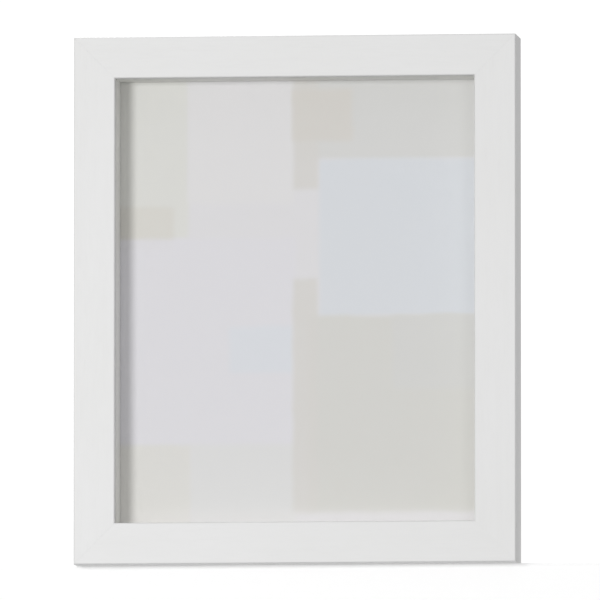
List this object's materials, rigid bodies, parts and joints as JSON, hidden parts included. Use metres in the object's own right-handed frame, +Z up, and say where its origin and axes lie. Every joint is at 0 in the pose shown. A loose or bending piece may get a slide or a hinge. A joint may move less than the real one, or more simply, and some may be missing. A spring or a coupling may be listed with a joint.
{
  "type": "shadow box",
  "caption": "White wooden shadow box frame with a deep glazed recess, lift-out back held by turn buttons, folding easel leg and ring hangers.",
  "frame": {"origin": "centre of the underside of the bottom rail, halfway through the rails' depth", "axes": "+Z up the frame, -Y out of the front face, +X to the right seen from the front"},
  "size_m": [0.2652, 0.0399, 0.3157],
  "materials": {
    "white_lacquered_wood": "smooth satin white lacquer on solid wood",
    "white_spacer": "matt white wrapped strip",
    "clear_glass": "clear picture glass",
    "nail_steel": "plain blued steel strip",
    "zinc_steel": "zinc plated",
    "nickelled_steel": "satin nickel plated",
    "black_fibreboard": "fibreboard faced with black flocked paper",
    "grey_card": "uncoated grey board",
    "printed_paper": "matt paper printed with soft pale patches"
  },
  "bodies": {
    "frame": {"rail_top": "white_lacquered_wood", "rail_bottom": "white_lacquered_wood", "rail_left": "white_lacquered_wood", "rail_right": "white_lacquered_wood", "corner_v_nails": "nail_steel", "glass_pane": "clear_glass", "spacer_top": "white_spacer", "spacer_bottom": "white_spacer", "spacer_left": "white_spacer", "spacer_right": "white_spacer", "turn_button_screws": "zinc_steel"},
    "back": {"back_board": "black_fibreboard", "mount_board": "grey_card", "insert_sheet": "printed_paper", "easel_hinge_upper_leaf": "nickelled_steel", "easel_hinge_pin": "zinc_steel", "easel_hinge_rivets": "zinc_steel", "hanger_strap_top": "nickelled_steel", "hanger_strap_side": "nickelled_steel", "hanger_rivets": "zinc_steel"},
    "leg": {"easel_leg": "black_fibreboard", "easel_hinge_lower_leaf": "nickelled_steel", "easel_leg_rivets": "zinc_steel"},
    "ring_top": {"hanger_ring_top": "nickelled_steel"},
    "ring_side": {"hanger_ring_side": "nickelled_steel"},
    "turn_button_top_a": {"turn_button_top_a": "nickelled_steel"},
    "turn_button_top_b": {"turn_button_top_b": "nickelled_steel"},
    "turn_button_bottom_a": {"turn_button_bottom_a": "nickelled_steel"},
    "turn_button_bottom_b": {"turn_button_bottom_b": "nickelled_steel"},
    "turn_button_left_a": {"turn_button_left_a": "nickelled_steel"},
    "turn_button_left_b": {"turn_button_left_b": "nickelled_steel"},
    "turn_button_right_a": {"turn_button_right_a": "nickelled_steel"},
    "turn_button_right_b": {"turn_button_right_b": "nickelled_steel"}
  },
  "joints": [
    {"name": "back_lift_out", "type": "slide", "parent": "frame", "child": "back", "axis": [0, 1, 0], "range_m": [0, 0.08]},
    {"name": "easel_swing", "type": "hinge", "parent": "back", "child": "leg", "pos_m": [0, 0.0198, 0.18], "axis": [1, 0, 0], "range_deg": [0, 26]},
    {"name": "top_ring_flip", "type": "hinge", "parent": "back", "child": "ring_top", "pos_m": [0, 0.0193, 0.282], "axis": [1, 0, 0], "range_deg": [0, 165]},
    {"name": "side_ring_flip", "type": "hinge", "parent": "back", "child": "ring_side", "pos_m": [-0.098, 0.0193, 0.15785], "axis": [0, 0, 1], "range_deg": [0, 165]},
    {"name": "turn_top_a", "type": "hinge", "parent": "frame", "child": "turn_button_top_a", "pos_m": [-0.075, 0.0184, 0.3027], "axis": [0, 1, 0], "continuous": true},
    {"name": "turn_top_b", "type": "hinge", "parent": "frame", "child": "turn_button_top_b", "pos_m": [0.075, 0.0184, 0.3027], "axis": [0, 1, 0], "continuous": true},
    {"name": "turn_bottom_a", "type": "hinge", "parent": "frame", "child": "turn_button_bottom_a", "pos_m": [0.075, 0.0184, 0.013], "axis": [0, 1, 0], "continuous": true},
    {"name": "turn_bottom_b", "type": "hinge", "parent": "frame", "child": "turn_button_bottom_b", "pos_m": [-0.075, 0.0184, 0.013], "axis": [0, 1, 0], "continuous": true},
    {"name": "turn_left_a", "type": "hinge", "parent": "frame", "child": "turn_button_left_a", "pos_m": [-0.1196, 0.0184, 0.08285], "axis": [0, 1, 0], "continuous": true},
    {"name": "turn_left_b", "type": "hinge", "parent": "frame", "child": "turn_button_left_b", "pos_m": [-0.1196, 0.0184, 0.23285], "axis": [0, 1, 0], "continuous": true},
    {"name": "turn_right_a", "type": "hinge", "parent": "frame", "child": "turn_button_right_a", "pos_m": [0.1196, 0.0184, 0.23285], "axis": [0, 1, 0], "continuous": true},
    {"name": "turn_right_b", "type": "hinge", "parent": "frame", "child": "turn_button_right_b", "pos_m": [0.1196, 0.0184, 0.08285], "axis": [0, 1, 0], "continuous": true}
  ]
}
